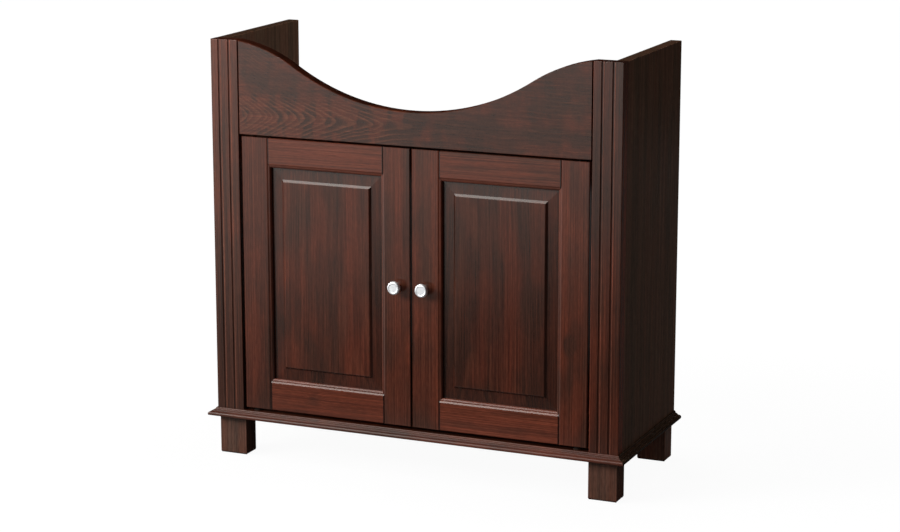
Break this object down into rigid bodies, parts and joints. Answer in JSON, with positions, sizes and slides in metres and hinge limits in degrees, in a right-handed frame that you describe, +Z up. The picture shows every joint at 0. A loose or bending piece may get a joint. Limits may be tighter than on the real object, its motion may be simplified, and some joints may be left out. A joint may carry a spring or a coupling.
{
  "type": "vanity cabinet",
  "caption": "Dark stained pine washbasin base cabinet: scalloped apron under an open top, fluted pilasters, hinged raised-panel doors, a moulded base and block feet.",
  "frame": {"origin": "on the floor, under the middle of the cabinet's box", "axes": "+X to the right and +Y to the back, seen from the front; +Z up"},
  "size_m": [0.694, 0.28, 0.66],
  "materials": {
    "stained_pine": "satin lacquer over dark red-brown stain",
    "beech": "bare",
    "satin_metal": "satin",
    "zinc_steel": "zinc plated",
    "black_steel": "blackened",
    "dark_bronze": "browned",
    "brown_plastic": "fine moulded",
    "ferrite": "matt"
  },
  "bodies": {
    "carcass": {"apron": "stained_pine", "base_board": "stained_pine", "base_moulding_front": "stained_pine", "back_rail_upper": "stained_pine", "back_rail_lower": "stained_pine", "door_stop_rail": "stained_pine", "side_panel_left": "stained_pine", "pilaster_left": "stained_pine", "base_moulding_left": "stained_pine", "foot_front_left": "stained_pine", "foot_back_left": "stained_pine", "side_panel_right": "stained_pine", "pilaster_right": "stained_pine", "base_moulding_right": "stained_pine", "foot_front_right": "stained_pine", "foot_back_right": "stained_pine", "apron_dowels": "beech", "base_dowels": "beech", "pilaster_dowels": "beech", "back_rail_dowels": "beech", "foot_screws": "zinc_steel", "door_stop_screws": "zinc_steel", "catch_screws": "zinc_steel", "catch_pole_plates": "zinc_steel", "pivot_bush_top_left": "dark_bronze", "pivot_bush_bottom_left": "dark_bronze", "catch_housing_left": "brown_plastic", "catch_magnet_left": "ferrite", "pivot_bush_top_right": "dark_bronze", "pivot_bush_bottom_right": "dark_bronze", "catch_housing_right": "brown_plastic", "catch_magnet_right": "ferrite"},
    "door_left": {"door_left_hinge_stile": "stained_pine", "door_left_meeting_stile": "stained_pine", "door_left_top_rail": "stained_pine", "door_left_bottom_rail": "stained_pine", "door_left_panel": "stained_pine", "door_left_knob": "satin_metal", "door_left_knob_screw": "zinc_steel", "door_left_strike_plate": "zinc_steel", "door_left_strike_screw": "zinc_steel", "door_left_pivot_pin_top": "black_steel", "door_left_pivot_pin_bottom": "black_steel"},
    "door_right": {"door_right_hinge_stile": "stained_pine", "door_right_meeting_stile": "stained_pine", "door_right_top_rail": "stained_pine", "door_right_bottom_rail": "stained_pine", "door_right_panel": "stained_pine", "door_right_knob": "satin_metal", "door_right_knob_screw": "zinc_steel", "door_right_strike_plate": "zinc_steel", "door_right_strike_screw": "zinc_steel", "door_right_pivot_pin_top": "black_steel", "door_right_pivot_pin_bottom": "black_steel"}
  },
  "joints": [
    {"name": "door_left_hinge", "type": "hinge", "parent": "carcass", "child": "door_left", "pos_m": [-0.26769, -0.1145, 0.075], "axis": [0, 0, -1], "range_deg": [0, 125]},
    {"name": "door_right_hinge", "type": "hinge", "parent": "carcass", "child": "door_right", "pos_m": [0.26769, -0.1145, 0.075], "axis": [0, 0, 1], "range_deg": [0, 125]}
  ]
}
